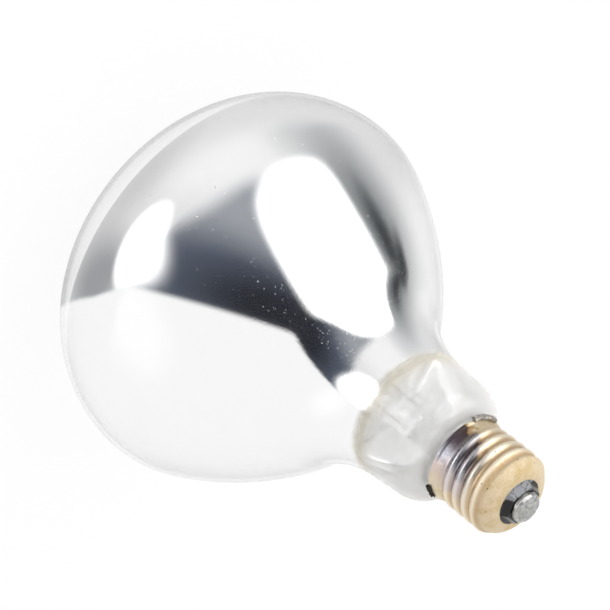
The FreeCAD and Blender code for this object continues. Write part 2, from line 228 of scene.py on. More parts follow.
def add(tree, kind, inputs=None, **settings):
    """Add a node with its settings. An input takes a socket to link from, or a value."""
    node = tree.nodes.new(kind)
    for name, value in settings.items():
        setattr(node, name, value)
    for key, value in (inputs or {}).items():
        if isinstance(value, bpy.types.NodeSocket):
            tree.links.new(value, node.inputs[key])
        else:
            node.inputs[key].default_value = value
    return node


def new_material(name):
    """Material with an empty node tree, and that tree."""
    material = bpy.data.materials.new(name)
    material.use_nodes = True
    tree = material.node_tree
    tree.nodes.clear()
    return material, tree


def piece(name, mesh, material, slot, *nodes):
    """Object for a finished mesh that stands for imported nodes."""
    item = bpy.data.objects.new(name, mesh)
    bpy.context.scene.collection.objects.link(item)
    if material:
        mesh.materials.clear()
        mesh.materials.append(material)
    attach(item, "root")
    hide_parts(*nodes)
    return item


def polar(radius, turn, height):
    """Point at a radius and a turn round the lamp's axis."""
    return Vector((radius * math.cos(turn), radius * math.sin(turn), height))


def heading(turn):
    """Unit vector in the section plane, as (radius, height)."""
    return Vector((math.cos(turn), math.sin(turn)))


def turned(name, section, closed=True, sharp=30.0):
    """Mesh of revolution about the lamp's axis from the points of its section."""
    bm = bmesh.new()
    turns = [2 * math.pi * step / AROUND for step in range(AROUND)]
    rings = []
    for radius, height in section:
        if radius < ON_AXIS:
            rings.append([bm.verts.new((0, 0, height))])
        else:
            rings.append([bm.verts.new(polar(radius, turn, height)) for turn in turns])
    following = rings[1:] + rings[:1] if closed else rings[1:]
    for lower, upper in zip(rings, following):
        if len(lower) == 1 and len(upper) == 1:
            continue
        for step in range(AROUND):
            corners = []
            for ring, place in ((lower, step), (lower, step + 1), (upper, step + 1), (upper, step)):
                corner = ring[place % len(ring)]
                if corner not in corners:
                    corners.append(corner)
            bm.faces.new(corners)
    return shaded_mesh(name, bm, sharp)


def shaded_mesh(name, bm, sharp):
    """Plain mesh with outward faces, smooth apart from edges sharper than an angle."""
    bmesh.ops.recalc_face_normals(bm, faces=bm.faces)
    mesh = bpy.data.meshes.new(name)
    bm.to_mesh(mesh)
    bm.free()
    mesh.shade_smooth()
    mesh.set_sharp_from_angle(angle=math.radians(sharp))
    return mesh


def softened(node, width, segments=3, sharp=35.0, limit=25.0):
    """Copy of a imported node's mesh with its edges rounded."""
    bm = bmesh.new()
    bm.from_mesh(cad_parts[node].data)
    bmesh.ops.remove_doubles(bm, verts=bm.verts, dist=MERGE)
    bmesh.ops.dissolve_limit(bm, angle_limit=math.radians(FLAT), verts=bm.verts, edges=bm.edges)
    edges = [edge for edge in bm.edges
             if len(edge.link_faces) == 2 and edge.calc_face_angle() > math.radians(limit)]
    bmesh.ops.bevel(bm, geom=edges, offset=width, segments=segments, profile=0.5, affect="EDGES",
                    clamp_overlap=True)
    return shaded_mesh(node, bm, sharp)


def lumpy(node, voxel, lump, depth, rounding=4):
    """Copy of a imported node's mesh, rounded and sunk unevenly, as set solder and cement are."""
    item = bpy.data.objects.new("lump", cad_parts[node].data.copy())
    bpy.context.scene.collection.objects.link(item)
    remesh = item.modifiers.new("even", "REMESH")
    remesh.mode = "VOXEL"
    remesh.voxel_size = voxel
    smooth = item.modifiers.new("round", "SMOOTH")
    smooth.factor = 0.5
    smooth.iterations = rounding
    mesh = applied(item)
    bpy.data.objects.remove(item)
    outward = [vertex.normal.copy() for vertex in mesh.vertices]
    roughness, lacunarity, octaves = 0.9, 2.0, 3
    for vertex, normal in zip(mesh.vertices, outward):
        swell = noise.fractal(vertex.co / lump, roughness, lacunarity, octaves)
        share = min(max(0.5 - swell, 0.0), 1.0)
        vertex.co -= normal * depth * share
    mesh.shade_smooth()
    return mesh


def applied(item):
    """Plain mesh of an object with its modifiers, which then has none."""
    graph = bpy.context.evaluated_depsgraph_get()
    mesh = bpy.data.meshes.new_from_object(item.evaluated_get(graph))
    item.modifiers.clear()
    return mesh


def shaped_by(mesh, tree, **values):
    """Plain mesh that a node tree makes from a mesh, with the tree's named inputs set."""
    item = bpy.data.objects.new("shaping", mesh)
    bpy.context.scene.collection.objects.link(item)
    modifier = item.modifiers.new("shape", "NODES")
    modifier.node_group = tree
    for socket in tree.interface.items_tree:
        key = socket.name.lower().replace(" ", "_")
        if socket.in_out == "INPUT" and key in values:
            modifier[socket.identifier] = values[key]
    result = applied(item)
    bpy.data.objects.remove(item)
    return result


# Section of the bulb

def bulb_runs():
    """Runs of the outer section, as (end point, angle of the outward normal, radius or None)."""
    size = sizes().bulb
    runs = [(Vector((0, 0)), -math.pi / 2, None)]

    def bend(radius, turn):
        point, before, _ = runs[-1]
        runs.append((point + (heading(turn) - heading(before)) * radius, turn, radius))

    def bend_to(end_radius, turn):
        point, before, _ = runs[-1]
        bend((point.x - end_radius) / (math.cos(before) - math.cos(turn)), turn)

    def straight(run):
        point, turn, _ = runs[-1]
        runs.append((point + heading(turn + math.pi / 2) * run, turn, None))

    throat = size.throat / 2
    rim_offset = size.diameter / 2 - size.face_rim
    bend(size.face_dome, math.asin(rim_offset / (size.face_dome - size.face_rim)) - math.pi / 2)
    bend(size.face_rim, 0.0)
    bend(size.shoulder, size.shoulder_turn)
    bend(size.back, size.back_turn)
    bend_to(size.neck / 2, size.neck_taper)
    straight(size.neck_run)
    bend_to(throat + size.throat_fillet * (1 - math.cos(size.neck_slope)), size.neck_slope)
    bend(-size.throat_fillet, 0.0)
    straight(size.throat_run)
    return runs


def bulb_outline(inset, spacing=1.6 * MM):
    """Points of the bulb's section from the face to the seal, moved in from the outer surface."""
    runs = bulb_runs()
    points = [Vector((0, inset))]
    for (start, before, _), (end, after, radius) in zip(runs, runs[1:]):
        first = start - heading(before) * inset
        last = end - heading(after) * inset
        steps = max(6, math.ceil((last - first).length / spacing))
        for step in range(1, steps + 1):
            share = step / steps
            if radius is None:
                points.append(first.lerp(last, share))
            else:
                centre = start - heading(before) * radius
                points.append(centre + heading(before + (after - before) * share) * (radius - inset))
    return points


def between_heights(points, low, high):
    """Stretch of an outline between two heights, with its ends cut level."""
    kept = []
    for start, end in zip(points, points[1:]):
        for height in (low, high):
            if (start.y - height) * (end.y - height) < 0:
                kept.append(start.lerp(end, (height - start.y) / (end.y - start.y)))
        if low <= end.y <= high:
            kept.append(end)
    return sorted(kept, key=lambda point: point.y)


def rim_height():
    """Height of the shell's rim."""
    return bulb_runs()[-2][0].y + sizes().cap.rim_gap


def neck_end():
    """Height of the sealed end of the neck."""
    return bulb_runs()[-1][0].y


# Materials

def stem_glass():
    """Drawn lead glass: faint edges and highlights, nearly lost in the neck."""
    material, tree = new_material("drawn_lead_glass")
    place = add(tree, "ShaderNodeTexCoord").outputs["Object"]
    cords = add(tree, "ShaderNodeTexNoise", {"Vector": place, "Scale": 1 / (2.2 * MM), "Detail": 2.0})
    share = add(tree, "ShaderNodeMapRange", {
        "Value": cords.outputs["Fac"], "From Min": 0.4, "From Max": 0.6, "To Min": 0.25, "To Max": 0.9})
    ripple = add(tree, "ShaderNodeBump", {
        "Height": cords.outputs["Fac"], "Strength": 0.6, "Distance": 0.6 * MM})
    glass = add(tree, "ShaderNodeBsdfPrincipled", {
        "Base Color": linear("#ffffff"), "Roughness": 0.0, "IOR": 1.56, "Transmission Weight": 1.0,
        "Normal": ripple.outputs["Normal"]})
    through = add(tree, "ShaderNodeBsdfTransparent")
    surface = add(tree, "ShaderNodeMixShader", {
        0: share.outputs["Result"], 1: through.outputs["BSDF"], 2: glass.outputs["BSDF"]})
    add(tree, "ShaderNodeOutputMaterial", {"Surface": surface.outputs["Shader"]})
    return material


def bulb_glass():
    """Blown soda-lime glass: clear, with specks of dust, and a thin metal haze in the neck."""
    finish = sizes().finish
    edge = sizes().bulb.film_neck_edge
    dusty_turn = math.radians(206.0)
    dust_top = 104.0 * MM
    material, tree = new_material("blown_soda_lime_glass")
    place = add(tree, "ShaderNodeTexCoord").outputs["Object"]
    height = add(tree, "ShaderNodeSeparateXYZ", {"Vector": place}).outputs["Z"]
    glass = add(tree, "ShaderNodeBsdfPrincipled", {
        "Base Color": linear("#ffffff"), "Roughness": 0.0, "IOR": 1.52, "Transmission Weight": 1.0})

    # Dust on one side of the bulb, on the outer surface alone and more of it at the waist
    level = add(tree, "ShaderNodeVectorMath", {0: place, 1: (1, 1, 0)}, operation="MULTIPLY")
    outward = add(tree, "ShaderNodeVectorMath", {0: level.outputs["Vector"]}, operation="NORMALIZE")
    facing = add(tree, "ShaderNodeVectorMath", {
        0: outward.outputs["Vector"], 1: polar(1.0, dusty_turn, 0.0)}, operation="DOT_PRODUCT")
    dusty_arc = add(tree, "ShaderNodeMapRange", {
        "Value": height, "From Min": 40.0 * MM, "From Max": 90.0 * MM, "To Min": 0.15, "To Max": 0.44})
    settled = add(tree, "ShaderNodeMath", {0: facing.outputs["Value"], 1: dusty_arc.outputs["Result"]},
                  operation="GREATER_THAN")
    bare = add(tree, "ShaderNodeMath", {0: height, 1: dust_top}, operation="LESS_THAN")
    within = add(tree, "ShaderNodeNewGeometry").outputs["Backfacing"]
    outside = add(tree, "ShaderNodeMath", {0: bare.outputs["Value"], 1: within}, operation="SUBTRACT",
                  use_clamp=True)
    ground = add(tree, "ShaderNodeMath", {0: settled.outputs["Value"], 1: outside.outputs["Value"]},
                 operation="MULTIPLY")
    waist = add(tree, "ShaderNodeMapRange", {
        "Value": height, "From Min": 76.0 * MM, "From Max": 92.0 * MM, "To Min": 0.05, "To Max": 0.6})
    dust = add(tree, "ShaderNodeBsdfDiffuse", {"Color": finish.dust})
    dusty = glass.outputs["BSDF"]
    coarse_dust = (3.5 * MM, 0.05, 0.6)
    fine_dust = (0.8 * MM, 0.15, waist.outputs["Result"])
    for spacing, size, share in (coarse_dust, fine_dust):
        specks = add(tree, "ShaderNodeTexVoronoi", {"Vector": place, "Scale": 1 / spacing})
        near = add(tree, "ShaderNodeMath", {0: specks.outputs["Distance"], 1: size}, operation="LESS_THAN")
        lot = add(tree, "ShaderNodeSeparateColor", {"Color": specks.outputs["Color"]})
        chosen = add(tree, "ShaderNodeMath", {0: lot.outputs["Red"], 1: share}, operation="LESS_THAN")
        speck = add(tree, "ShaderNodeMath", {0: near.outputs["Value"], 1: chosen.outputs["Value"]},
                    operation="MULTIPLY")
        mask = add(tree, "ShaderNodeMath", {0: speck.outputs["Value"], 1: ground.outputs["Value"]},
                   operation="MULTIPLY")
        dusty = add(tree, "ShaderNodeMixShader", {
            0: mask.outputs["Value"], 1: dusty, 2: dust.outputs["BSDF"]}).outputs["Shader"]

    # Haze from the film's edge up the neck, brown at first and then milky
    cloud = add(tree, "ShaderNodeTexNoise", {"Vector": place, "Scale": 1 / (5.0 * MM), "Detail": 4.0})
    uneven = add(tree, "ShaderNodeMath", {0: cloud.outputs["Fac"], 1: 3.0 * MM, 2: height},
                 operation="MULTIPLY_ADD")
    up_neck = add(tree, "ShaderNodeMapRange", {
        "Value": uneven.outputs["Value"], "From Min": edge - 2.0 * MM, "From Max": edge + 22.0 * MM})
    haze = add(tree, "ShaderNodeValToRGB", {"Fac": up_neck.outputs["Result"]})
    stops = haze.color_ramp.elements
    stops[0].position, stops[0].color = 0.0, (0, 0, 0, 1)
    stops[1].position, stops[1].color = 1.0, (0.3, 0.3, 0.3, 1)
    for step, cover in ((0.13, 0.5), (0.25, 0.4), (0.5, 0.35)):
        stops.new(step).color = (cover, cover, cover, 1)
    tone = add(tree, "ShaderNodeValToRGB", {"Fac": up_neck.outputs["Result"]})
    stops = tone.color_ramp.elements
    stops[0].position, stops[0].color = 0.12, finish.film_edge
    stops[1].position, stops[1].color = 0.4, finish.haze
    veil = add(tree, "ShaderNodeBsdfDiffuse", {"Color": tone.outputs["Color"]})
    surface = add(tree, "ShaderNodeMixShader", {
        0: haze.outputs["Color"], 1: dusty, 2: veil.outputs["BSDF"]})
    add(tree, "ShaderNodeOutputMaterial", {"Surface": surface.outputs["Shader"]})
    return material


def mirror_film():
    """Vapour-deposited aluminium: a near perfect mirror, grainy at the waist and frayed at its edge."""
    finish = sizes().finish
    edge = sizes().bulb.film_neck_edge
    material, tree = new_material("vapour_deposited_aluminium")
    place = add(tree, "ShaderNodeTexCoord").outputs["Object"]
    height = add(tree, "ShaderNodeSeparateXYZ", {"Vector": place}).outputs["Z"]

    # The real grain is finer than the render can show, so it is drawn at 0.8 mm
    grain = add(tree, "ShaderNodeTexNoise", {"Vector": place, "Scale": 1 / (0.8 * MM), "Detail": 3.0})
    coarse = add(tree, "ShaderNodeMapRange", {
        "Value": height, "From Min": 72.0 * MM, "From Max": 92.0 * MM, "To Min": 0.02, "To Max": 0.22})
    bump = add(tree, "ShaderNodeBump", {
        "Height": grain.outputs["Fac"], "Strength": coarse.outputs["Result"], "Distance": 0.05 * MM})
    metal = add(tree, "ShaderNodeBsdfPrincipled", {
        "Base Color": finish.mirror, "Metallic": 1.0, "Roughness": 0.07,
        "Normal": bump.outputs["Normal"]})

    # Ragged edge in the neck, where the film thins out
    clear = add(tree, "ShaderNodeBsdfTransparent")
    fray = add(tree, "ShaderNodeTexNoise", {"Vector": place, "Scale": 1 / (3.0 * MM), "Detail": 5.0})
    ragged = add(tree, "ShaderNodeMath", {0: fray.outputs["Fac"], 1: FRAY, 2: height},
                 operation="MULTIPLY_ADD")
    fading = add(tree, "ShaderNodeMapRange", {
        "Value": ragged.outputs["Value"], "From Min": edge - 1.0 * MM, "From Max": edge + 2.5 * MM},
        interpolation_type="SMOOTHSTEP")
    surface = add(tree, "ShaderNodeMixShader", {
        0: fading.outputs["Result"], 1: metal.outputs["BSDF"], 2: clear.outputs["BSDF"]})
    add(tree, "ShaderNodeOutputMaterial", {"Surface": surface.outputs["Shader"]})
    return material


def heat_tinted_brass():
    """Rolled brass: satin pale gold, crests lightened as a painted highlight, grooves tarnished and darkened
    as painted shade, pitted, and heat-tinted on one side.
    """
    finish = sizes().finish
    cap = sizes().cap
    rim = rim_height()
    tint_start = math.radians(226 - 360)
    tint_end = math.radians(318 - 360)
    tint_lean = math.radians(-1.3) / MM
    tint_stir = 0.8
    material, tree = new_material("heat_tinted_rolled_brass")
    place = add(tree, "ShaderNodeTexCoord").outputs["Object"]
    blotch = add(tree, "ShaderNodeTexNoise", {"Vector": place, "Scale": 1 / (5.0 * MM), "Detail": 3.0})
    rub = add(tree, "ShaderNodeTexNoise", {"Vector": place, "Scale": 1 / (0.5 * MM), "Detail": 3.0})
    axes = add(tree, "ShaderNodeSeparateXYZ", {"Vector": place})
    level = add(tree, "ShaderNodeCombineXYZ", {"X": axes.outputs["X"], "Y": axes.outputs["Y"]})
    radius = add(tree, "ShaderNodeVectorMath", {0: level.outputs["Vector"]}, operation="LENGTH")
    climb = add(tree, "ShaderNodeMath", {0: axes.outputs["Z"], 1: rim}, operation="SUBTRACT")

    # Crests rubbed and lightened as a painted highlight, and grooves tarnished and darkened as painted
    # shade, on the threaded stretch alone
    groove_tone_and_shade = add(tree, "ShaderNodeMapRange", {
        "Value": radius.outputs["Value"], "From Min": cap.root / 2,
        "From Max": cap.crest / 2 - 0.2 * MM, "To Min": 1.0, "To Max": 0.0})
    threaded = add(tree, "ShaderNodeMapRange", {
        "Value": climb.outputs["Value"], "From Min": cap.height - 5.0 * MM,
        "From Max": cap.height - 3.0 * MM, "To Min": 0.9, "To Max": 0.0})
    off_skirt = add(tree, "ShaderNodeMapRange", {
        "Value": climb.outputs["Value"], "From Min": 3.0 * MM, "From Max": 5.0 * MM})
    tarnish_and_shade = add(tree, "ShaderNodeMath", {0: groove_tone_and_shade.outputs["Result"], 1: threaded.outputs["Result"]},
                  operation="MULTIPLY")
    proud = add(tree, "ShaderNodeMath", {0: threaded.outputs["Result"], 1: tarnish_and_shade.outputs["Value"]},
                operation="SUBTRACT")
    crest = add(tree, "ShaderNodeMath", {0: proud.outputs["Value"], 1: off_skirt.outputs["Result"]},
                operation="MULTIPLY")
    yellowed = add(tree, "ShaderNodeMapRange", {
        "Value": blotch.outputs["Fac"], "From Min": 0.45, "From Max": 0.65, "To Max": 0.7})
    patina = add(tree, "ShaderNodeMix", {
        0: yellowed.outputs["Result"], 6: finish.brass, 7: finish.patina}, data_type="RGBA")
    # Painted highlight: the crests lighten towards the rubbed tone
    rubbed_and_highlit = add(tree, "ShaderNodeMix", {
        0: crest.outputs["Value"], 6: patina.outputs[2], 7: finish.rubbed_and_highlit}, data_type="RGBA")
    # Tarnish and painted shade: the grooves darken towards the groove tone
    worn_and_painted_light = add(tree, "ShaderNodeMix", {
        0: tarnish_and_shade.outputs["Value"], 6: rubbed_and_highlit.outputs[2], 7: finish.groove_tone_and_shade}, data_type="RGBA")

    # Scattered pits
    pits = add(tree, "ShaderNodeTexVoronoi", {"Vector": place, "Scale": 1 / (2.4 * MM)})
    lot = add(tree, "ShaderNodeSeparateColor", {"Color": pits.outputs["Color"]})
    chosen = add(tree, "ShaderNodeMath", {0: lot.outputs["Red"], 1: 0.45}, operation="LESS_THAN")
    hollow = add(tree, "ShaderNodeMapRange", {
        "Value": pits.outputs["Distance"], "From Min": 0.06, "From Max": 0.12, "To Min": 1.0, "To Max": 0.0})
    pit = add(tree, "ShaderNodeMath", {0: hollow.outputs["Result"], 1: chosen.outputs["Value"]},
              operation="MULTIPLY")
    spotted = add(tree, "ShaderNodeMix", {
        0: pit.outputs["Value"], 6: worn_and_painted_light.outputs[2], 7: finish.scorch_and_shade}, data_type="RGBA")

    # Heat tint: bands round one side that lean with the height and fade up the thread
    azimuth = add(tree, "ShaderNodeMath", {0: axes.outputs["Y"], 1: axes.outputs["X"]},
                  operation="ARCTAN2")
    leaning = add(tree, "ShaderNodeMath", {
        0: climb.outputs["Value"], 1: tint_lean, 2: azimuth.outputs["Value"]}, operation="MULTIPLY_ADD")
    stirred = add(tree, "ShaderNodeMath", {
        0: blotch.outputs["Fac"], 1: tint_stir, 2: leaning.outputs["Value"]}, operation="MULTIPLY_ADD")
    across = add(tree, "ShaderNodeMapRange", {
        "Value": stirred.outputs["Value"], "From Min": tint_start + tint_stir / 2,
        "From Max": tint_end + tint_stir / 2})
    bands = add(tree, "ShaderNodeValToRGB", {"Fac": across.outputs["Result"]})
    stops = bands.color_ramp.elements
    stops[0].position, stops[0].color = 0.0, finish.straw[:3] + (0.0,)
    stops[1].position, stops[1].color = 1.0, finish.lilac[:3] + (0.0,)
    for step, tint, strength in (
            (0.05, finish.straw, 0.8), (0.1, finish.scorch_and_shade, 1.0), (0.36, finish.plum, 1.0),
            (0.58, finish.temper, 1.0), (0.72, finish.lilac, 1.0), (0.85, finish.lilac, 0.8)):
        stops.new(step).color = tint[:3] + (strength,)
    low = add(tree, "ShaderNodeMapRange", {
        "Value": climb.outputs["Value"], "From Min": 10.0 * MM, "From Max": 15.0 * MM,
        "To Min": 1.0, "To Max": 0.0})
    cover = add(tree, "ShaderNodeMath", {0: bands.outputs["Alpha"], 1: low.outputs["Result"]},
                operation="MULTIPLY")
    # Painted highlight: in the tint the crests lighten towards silver
    bright = add(tree, "ShaderNodeMath", {0: crest.outputs["Value"], 1: 0.6}, operation="MULTIPLY")
    crest_highlighted = add(tree, "ShaderNodeMix", {
        0: bright.outputs["Value"], 6: bands.outputs["Color"], 7: finish.silver_tint_and_highlight}, data_type="RGBA")
    # Painted shade: in the tint the grooves darken towards the scorch tone
    dark = add(tree, "ShaderNodeMath", {0: tarnish_and_shade.outputs["Value"], 1: 0.5}, operation="MULTIPLY")
    shade_lined = add(tree, "ShaderNodeMix", {
        0: dark.outputs["Value"], 6: crest_highlighted.outputs[2], 7: finish.scorch_and_shade}, data_type="RGBA")
    tone = add(tree, "ShaderNodeMix", {
        0: cover.outputs["Value"], 6: spotted.outputs[2], 7: shade_lined.outputs[2]}, data_type="RGBA")

    # Satin, duller on the dome and glossier in the tint
    satin = add(tree, "ShaderNodeMapRange", {
        "Value": rub.outputs["Fac"], "From Min": 0.3, "From Max": 0.7, "To Min": 0.36, "To Max": 0.52})
    dome = add(tree, "ShaderNodeMapRange", {
        "Value": climb.outputs["Value"], "From Min": 15.0 * MM, "From Max": 18.5 * MM, "To Max": 0.38})
    dull = add(tree, "ShaderNodeMath", {0: satin.outputs["Result"], 1: dome.outputs["Result"]},
               operation="ADD")
    gloss = add(tree, "ShaderNodeMath", {0: cover.outputs["Value"], 1: -0.12, 2: dull.outputs["Value"]},
                operation="MULTIPLY_ADD")
    dent = add(tree, "ShaderNodeMath", {0: pit.outputs["Value"], 1: -2.0, 2: rub.outputs["Fac"]},
               operation="MULTIPLY_ADD")
    bump = add(tree, "ShaderNodeBump", {
        "Height": dent.outputs["Value"], "Strength": 0.2, "Distance": 0.04 * MM})
    metal = add(tree, "ShaderNodeBsdfPrincipled", {
        "Base Color": tone.outputs[2], "Metallic": 1.0, "Roughness": gloss.outputs["Value"],
        "Normal": bump.outputs["Normal"]})
    add(tree, "ShaderNodeOutputMaterial", {"Surface": metal.outputs["BSDF"]})
    return material


def mottled(name, tone, grit, polish, relief, metallic=1.0, darkest=0.7):
    """Metal or mineral with a mottled tone and a grit of a real size: solder, wire, cement, plate."""
    material, tree = new_material(name)
    place = add(tree, "ShaderNodeTexCoord").outputs["Object"]
    speckle = add(tree, "ShaderNodeTexNoise", {"Vector": place, "Scale": 1 / grit, "Detail": 6.0})
    shade = add(tree, "ShaderNodeMapRange", {
        "Value": speckle.outputs["Fac"], "From Min": 0.3, "From Max": 0.7,
        "To Min": darkest, "To Max": 1.15})
    tone_mix = add(tree, "ShaderNodeVectorMath", {0: tone[:3], "Scale": shade.outputs["Result"]},
                   operation="SCALE")
    gloss = add(tree, "ShaderNodeMapRange", {
        "Value": speckle.outputs["Fac"], "From Min": 0.3, "From Max": 0.7,
        "To Min": polish[0], "To Max": polish[1]})
    bump = add(tree, "ShaderNodeBump", {
        "Height": speckle.outputs["Fac"], "Strength": relief, "Distance": grit / 4})
    body = add(tree, "ShaderNodeBsdfPrincipled", {
        "Base Color": tone_mix.outputs["Vector"], "Metallic": metallic,
        "Roughness": gloss.outputs["Result"], "Normal": bump.outputs["Normal"]})
    add(tree, "ShaderNodeOutputMaterial", {"Surface": body.outputs["BSDF"]})
    return material


def black_glass():
    """Opaque black pressed glass: black with sharp highlights, and one facet painted grey, scuffed and
    cracked and partly a painted reflection.
    """
    finish = sizes().finish
    material, tree = new_material("pressed_black_glass")
    place = add(tree, "ShaderNodeTexCoord").outputs["Object"]
    scuff = add(tree, "ShaderNodeTexNoise", {"Vector": place, "Scale": 1 / (0.8 * MM), "Detail": 6.0})
    scuffed_turn = math.radians(241.0)
    wandering = 1.6 * MM

    # Millimetres from the axis towards the scuffed facet
    side = polar(1 / MM, scuffed_turn, 0)
    facing = add(tree, "ShaderNodeVectorMath", {0: place, 1: side}, operation="DOT_PRODUCT")
    ragged = add(tree, "ShaderNodeMath", {0: scuff.outputs["Fac"], 1: 2.0, 2: facing.outputs["Value"]},
                 operation="MULTIPLY_ADD")
    worn_and_painted_light = add(tree, "ShaderNodeMapRange", {
        "Value": ragged.outputs["Value"], "From Min": 5.2, "From Max": 5.8})
    wander = add(tree, "ShaderNodeVectorMath", {
        0: scuff.outputs["Color"], 1: (wandering, wandering, wandering), 2: place},
        operation="MULTIPLY_ADD")
    crazing = add(tree, "ShaderNodeTexVoronoi", {
        "Vector": wander.outputs["Vector"], "Scale": 1 / CRACK_SIZE}, feature="DISTANCE_TO_EDGE")
    uncracked = add(tree, "ShaderNodeMapRange", {
        "Value": crazing.outputs["Distance"], "From Min": 0.005, "From Max": 0.06, "To Min": 0.2})
    # Painted reflection and scuffing: the facet turns grey apart from its cracks
    grey = add(tree, "ShaderNodeMath", {0: worn_and_painted_light.outputs["Result"], 1: uncracked.outputs["Result"]},
               operation="MULTIPLY")
    tone = add(tree, "ShaderNodeMix", {
        0: grey.outputs["Value"], 6: finish.black_glass, 7: finish.scuffed_and_reflecting_glass}, data_type="RGBA")
    gloss = add(tree, "ShaderNodeMapRange", {
        "Value": scuff.outputs["Fac"], "From Min": 0.35, "From Max": 0.75, "To Min": 0.03, "To Max": 0.2})
    body = add(tree, "ShaderNodeBsdfPrincipled", {
        "Base Color": tone.outputs[2], "Roughness": gloss.outputs["Result"], "IOR": 1.45})
    add(tree, "ShaderNodeOutputMaterial", {"Surface": body.outputs["BSDF"]})
    return material


# Node trees for what follows a rule

def tree_with_inputs(name, *names):
    """Empty geometry tree with a mesh and named numbers going in, and a mesh coming out."""
    tree = bpy.data.node_groups.new(name, "GeometryNodeTree")
    tree.interface.new_socket("Geometry", in_out="INPUT", socket_type="NodeSocketGeometry")
    for label in names:
        tree.interface.new_socket(label, in_out="INPUT", socket_type="NodeSocketFloat")
    tree.interface.new_socket("Geometry", in_out="OUTPUT", socket_type="NodeSocketGeometry")
    return tree, add(tree, "NodeGroupInput").outputs


def end_tree(tree, geometry, material):
    """Make instances real, give them their material, and send them out."""
    whole = add(tree, "GeometryNodeRealizeInstances", {"Geometry": geometry})
    coated = add(tree, "GeometryNodeSetMaterial", {
        "Geometry": whole.outputs["Geometry"], "Material": material})
    add(tree, "NodeGroupOutput", {"Geometry": coated.outputs["Geometry"]})


def thread_tree(material):
    """Rolled thread: level rings whose centre climbs a small helix and fades at both ends."""
    tree, given = tree_with_inputs(
        "rolled_thread", "Pitch", "Swing", "Start", "Foot", "Head", "Runout", "Skin")
    place = add(tree, "GeometryNodeInputPosition").outputs["Position"]
    height = add(tree, "ShaderNodeSeparateXYZ", {"Vector": place}).outputs["Z"]
    above = add(tree, "ShaderNodeMath", {0: height, 1: given["Foot"]}, operation="SUBTRACT")
    below = add(tree, "ShaderNodeMath", {0: given["Head"], 1: height}, operation="SUBTRACT")
    inside = add(tree, "ShaderNodeMath", {0: above.outputs[0], 1: below.outputs[0]}, operation="MINIMUM")
    fade = add(tree, "ShaderNodeMapRange", {
        "Value": inside.outputs[0], "From Max": given["Runout"]}, interpolation_type="SMOOTHSTEP")
    swing = add(tree, "ShaderNodeMath", {0: fade.outputs["Result"], 1: given["Swing"]},
                operation="MULTIPLY")
    risen = add(tree, "ShaderNodeMath", {0: height, 1: given["Start"]}, operation="SUBTRACT")
    turns = add(tree, "ShaderNodeMath", {0: risen.outputs[0], 1: given["Pitch"]}, operation="DIVIDE")
    turn = add(tree, "ShaderNodeMath", {0: turns.outputs[0], 1: 2 * math.pi}, operation="MULTIPLY")
    spin = add(tree, "ShaderNodeVectorRotate", {
        "Vector": add(tree, "ShaderNodeCombineXYZ", {"X": swing.outputs[0]}).outputs["Vector"],
        "Angle": turn.outputs[0]}, rotation_type="Z_AXIS")
    outside = add(tree, "FunctionNodeCompare", {
        "A": add(tree, "GeometryNodeInputIndex").outputs["Index"], "B": given["Skin"]},
        operation="LESS_THAN")
    moved = add(tree, "GeometryNodeSetPosition", {
        "Geometry": given["Geometry"], "Selection": outside.outputs["Result"],
        "Offset": spin.outputs["Vector"]})
    end_tree(tree, moved.outputs["Geometry"], material)
    return tree


def wire_tree(material):
    """Round wire along a path of straight runs, with rounded bends."""
    tree, given = tree_with_inputs("drawn_wire", "Radius", "Bend")
    path = add(tree, "GeometryNodeMeshToCurve", {"Mesh": given["Geometry"]})
    round_path = add(tree, "GeometryNodeFilletCurve", {
        "Curve": path.outputs["Curve"], "Radius": given["Bend"], "Limit Radius": True, "Count": 8},
        mode="POLY")
    section = add(tree, "GeometryNodeCurvePrimitiveCircle", {"Resolution": 14, "Radius": given["Radius"]})
    solid = add(tree, "GeometryNodeCurveToMesh", {
        "Curve": round_path.outputs["Curve"], "Profile Curve": section.outputs["Curve"], "Fill Caps": True})
    smooth = add(tree, "GeometryNodeSetShadeSmooth", {"Geometry": solid.outputs["Mesh"]})
    end_tree(tree, smooth.outputs["Geometry"], material)
    return tree


